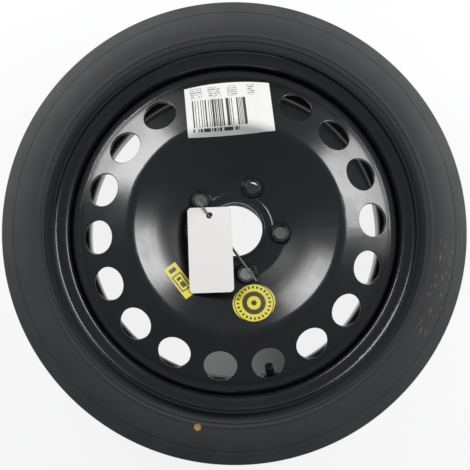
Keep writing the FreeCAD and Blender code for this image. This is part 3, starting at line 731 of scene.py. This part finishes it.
def lay_upright(piece):
    """Turns a piece drawn in (run, height) so that it stands in the tie's upright plane."""
    along = Vector((run.x, run.y, 0)).normalized()
    up = Vector((0, 0, 1))
    across = along.cross(up)
    turn = Matrix((along, up, across)).transposed().to_4x4()
    move = Matrix.Translation(Vector((up_place.x, up_place.y, 0)) * MM)
    piece.matrix_world = move @ turn
    deselect_all()
    piece.select_set(True)
    bpy.context.view_layer.objects.active = piece
    bpy.ops.object.transform_apply(location=True, rotation=True, scale=True)
    return piece


def make_strap(name, points, closed):
    deselect_all()
    bpy.ops.curve.primitive_bezier_curve_add(location=(0, 0, 0))
    piece = bpy.context.object
    piece.name = name
    line = piece.data
    line.dimensions = "2D"
    line.fill_mode = "NONE"
    spline = line.splines[0]
    spline.bezier_points.add(len(points) - 2)
    for knot, (t, z) in zip(spline.bezier_points, points):
        knot.co = (t * MM, z * MM, 0)
        knot.handle_left_type = knot.handle_right_type = "AUTO"
    spline.use_cyclic_u = closed
    spline.resolution_u = STRAP_STEPS
    line.bevel_depth = STRAP_THICK / 2 * MM
    line.bevel_resolution = STRAP_EDGE_STEPS
    line.extrude = (STRAP_WIDTH - STRAP_THICK) / 2 * MM
    line.use_fill_caps = True
    bpy.ops.object.convert(target="MESH")
    piece = bpy.context.object
    bpy.ops.object.shade_smooth_by_angle(angle=TIE_SMOOTH)
    return lay_upright(piece)


def make_head():
    deselect_all()
    bpy.ops.mesh.primitive_cube_add(size=1, location=(0, 0, 0))
    piece = bpy.context.object
    piece.name = "tie_head"
    bpy.ops.object.mode_set(mode="EDIT")
    bpy.ops.mesh.select_all(action="SELECT")
    bpy.ops.transform.resize(value=[s * MM for s in HEAD_SIZE])
    bpy.ops.transform.translate(value=((RUN - HEAD_BACK) * MM, HEAD_Z * MM, 0))
    select_faces(piece, lambda centre: centre.x > (RUN + 1) * MM)
    bpy.ops.mesh.inset(thickness=MOUTH_RIM * MM)
    bpy.ops.mesh.extrude_region_move(TRANSFORM_OT_translate={"value": (-MOUTH_DEPTH * MM, 0, 0)})
    bpy.ops.object.mode_set(mode="OBJECT")
    soften = piece.modifiers.new("soften", "BEVEL")
    soften.width = HEAD_ROUNDING * MM
    soften.segments = HEAD_EDGE_STEPS
    bpy.ops.object.modifier_apply(modifier="soften")
    bpy.ops.object.shade_smooth_by_angle(angle=TIE_SMOOTH)
    return lay_upright(piece)


tie_plastic = make_plain("tie_nylon", (0.12, 0.12, 0.115), (0.18, 0.18, 0.17), 0.36, 0.0, 5)
strap = make_strap("tie_strap", route, True)
tail = make_strap("tie_tail", tail_route, False)
for piece in (strap, tail, make_head()):
    wear(piece, tie_plastic)
    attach(piece, "wheel")
    print(piece.name, len(piece.data.polygons), "faces")

# %% [markdown]
# ## Studio
# A pale floor carries the wheel. The photograph's ground is white, so the floor shows most of its white to
# the camera, and in mirroring paint and metal, by Light Path. It keeps a share of real shading for the
# wheel's shadow. Under the bolt holes and under some of the vents the photograph is dark, and there the
# floor keeps its real shading, which is the deep shade inside the wheel.

# %% Floor
FLOOR_SIZE = 12
FLOOR_COLOUR = (0.86, 0.86, 0.86, 1)
FLOOR_ROUGHNESS = 0.9
FLOOR_SHARE = 0.86
WHITE_RAYS = ("Is Camera Ray", "Is Glossy Ray", "Is Transmission Ray")
# Shaded places on the floor: radii, and angles in degrees
SHADE_UNDER_BOLTS = (41.0, 75.0)
SHADE_UNDER_VENTS = (130.0, 225.0)
SHADE_ANGLES = ((17.0, 131.0), (253.5, 296.0))


def make_floor():
    deselect_all()
    bpy.ops.mesh.primitive_plane_add(size=FLOOR_SIZE, location=(0, 0, cad_box[0][2]))
    floor = bpy.context.object
    floor.name = "studio_floor"
    material, tree, shader = new_finish("floor_white")
    shader.inputs["Base Color"].default_value = FLOOR_COLOUR
    shader.inputs["Roughness"].default_value = FLOOR_ROUGHNESS
    path = tree.nodes.new("ShaderNodeLightPath")
    seen = any_of(tree, [path.outputs[ray] for ray in WHITE_RAYS])
    white = tree.nodes.new("ShaderNodeEmission")
    white.inputs["Strength"].default_value = 1.0
    _, x, y, _ = place(tree)
    radius, angle = polar(tree, x, y)
    sides = any_of(tree, [between(tree, angle, *ends) for ends in SHADE_ANGLES])
    vents = calc(tree, "MULTIPLY", sides, between(tree, radius, *SHADE_UNDER_VENTS))
    shade = calc(tree, "MAXIMUM", vents, between(tree, radius, *SHADE_UNDER_BOLTS))
    lit = calc(tree, "MULTIPLY", seen, calc(tree, "SUBTRACT", 1.0, shade))
    mix = tree.nodes.new("ShaderNodeMixShader")
    feed(tree, mix.inputs[0], calc(tree, "MULTIPLY", lit, FLOOR_SHARE))
    tree.links.new(shader.outputs[0], mix.inputs[1])
    tree.links.new(white.outputs[0], mix.inputs[2])
    tree.links.new(mix.outputs[0], tree.nodes["Material Output"].inputs["Surface"])
    wear(floor, material)


make_floor()
print("floor at", round(cad_box[0][2], 4))

# %% [markdown]
# Two soft boxes stand at the top right and top left. Black paint shows little but what it mirrors, so their
# places make the bright smears on the crest. A weak, slightly blue world fills the rest.

# %% Lamps and world
LAMP_ELEVATION = 25
LAMP_DISTANCE = 1.5
# Azimuth in degrees, width and height in metres, and power in watts
LAMPS = {
    "soft_box_right": (24, (0.95, 0.40), 18),
    "soft_box_left": (138, (0.85, 0.40), 17),
}
WORLD_COLOUR = (0.9, 0.95, 1.0, 1)
WORLD_STRENGTH = 0.30


def make_lamp(name, azimuth, size, power):
    turn = math.radians(azimuth)
    rise = math.radians(LAMP_ELEVATION)
    level = Vector((math.cos(turn), math.sin(turn), 0)) * math.cos(rise)
    toward = level + Vector((0, 0, math.sin(rise)))
    deselect_all()
    bpy.ops.object.light_add(type="AREA", location=toward * LAMP_DISTANCE)
    lamp = bpy.context.object
    lamp.name = name
    lamp.rotation_euler = (-toward).to_track_quat("-Z", "Y").to_euler()
    lamp.data.shape = "RECTANGLE"
    lamp.data.size, lamp.data.size_y = size
    lamp.data.energy = power


for name, (azimuth, size, power) in LAMPS.items():
    make_lamp(name, azimuth, size, power)
world = bpy.data.worlds.new("studio_air")
bpy.context.scene.world = world
world.use_nodes = True
air = world.node_tree.nodes["Background"]
air.inputs["Color"].default_value = WORLD_COLOUR
air.inputs["Strength"].default_value = WORLD_STRENGTH
print("soft boxes:", len(LAMPS))

# %% [markdown]
# ## Camera
# The photograph looks down on the wheel, leaning a little toward the bottom left. The camera stands 1.5 m
# away, and its lens is worked out from the width that the square picture spans at the tyre's middle.

# %% Camera
AIM = Vector((0.0006, -0.0025, -0.041))
DISTANCE = 1.5
LEAN_DOWN = math.radians(5.2)
LEAN_LEFT = math.radians(1.3)
PICTURE_SPAN = 0.587
SENSOR_WIDTH = 36.0
toward = Vector((-math.tan(LEAN_LEFT), -math.tan(LEAN_DOWN), 1)).normalized()
deselect_all()
bpy.ops.object.camera_add(location=AIM + toward * DISTANCE)
camera = bpy.context.object
right = Vector((0, 1, 0)).cross(toward).normalized()
camera.rotation_euler = Matrix((right, toward.cross(right), toward)).transposed().to_euler()
camera.data.sensor_width = SENSOR_WIDTH
camera.data.lens = SENSOR_WIDTH * DISTANCE / PICTURE_SPAN
bpy.context.scene.camera = camera
bpy.context.scene.view_settings.view_transform = "Standard"
print("lens", round(camera.data.lens, 1), "mm")

# %% [markdown]
# ## Last step
# The selection is cleared.

# %% Clear the selection
deselect_all()
